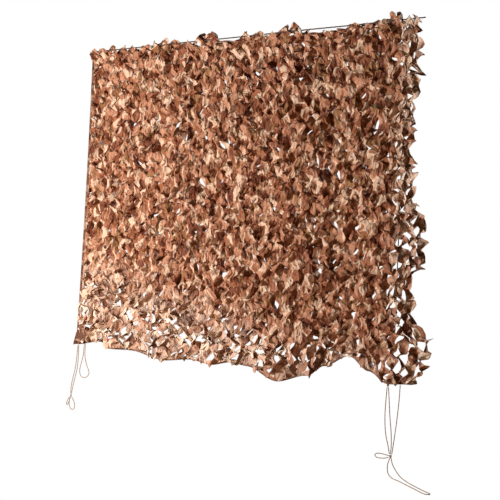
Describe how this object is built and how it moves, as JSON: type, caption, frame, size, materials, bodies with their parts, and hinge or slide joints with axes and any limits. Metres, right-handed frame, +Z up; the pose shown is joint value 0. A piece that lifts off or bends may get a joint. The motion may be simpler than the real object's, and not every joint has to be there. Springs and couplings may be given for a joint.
{
  "type": "camouflage netting",
  "caption": "Hung camouflage netting: slit-cut cloth opened into twisted leaves on a top rope, with bound edges, a side rope and tie cords at its lower corners.",
  "frame": {"origin": "middle of the top rope's centreline, at the rope's own height", "axes": "+X along the top rope towards the free leafy edge, +Y to the back of the net, +Z up"},
  "size_m": [2.196, 0.2571, 1.9194],
  "materials": {
    "cloth": "printed slit-cut polyester cloth",
    "tape": "folded binding of the same cloth",
    "rope": "dark laid rope",
    "cord": "light tan braided cord"
  },
  "bodies": {
    "root": {"camouflage_sheet": "cloth", "hem_binding": "tape", "left_binding": "tape", "corner_patch": "tape", "top_rope": "rope", "side_rope": "rope", "tie_left_knot": "cord", "tie_left_end_knot": "cord", "tie_right_knot": "cord", "tie_right_middle_knot": "cord", "tie_left_strand_1": "cord", "tie_left_strand_2": "cord", "tie_left_loop": "cord", "tie_left_bow_1": "cord", "tie_left_bow_2": "cord", "tie_right_strand_1": "cord", "tie_right_strand_2": "cord", "tie_right_strand_3": "cord", "tie_right_side_loop": "cord", "tie_right_long_loop": "cord"}
  },
  "joints": []
}
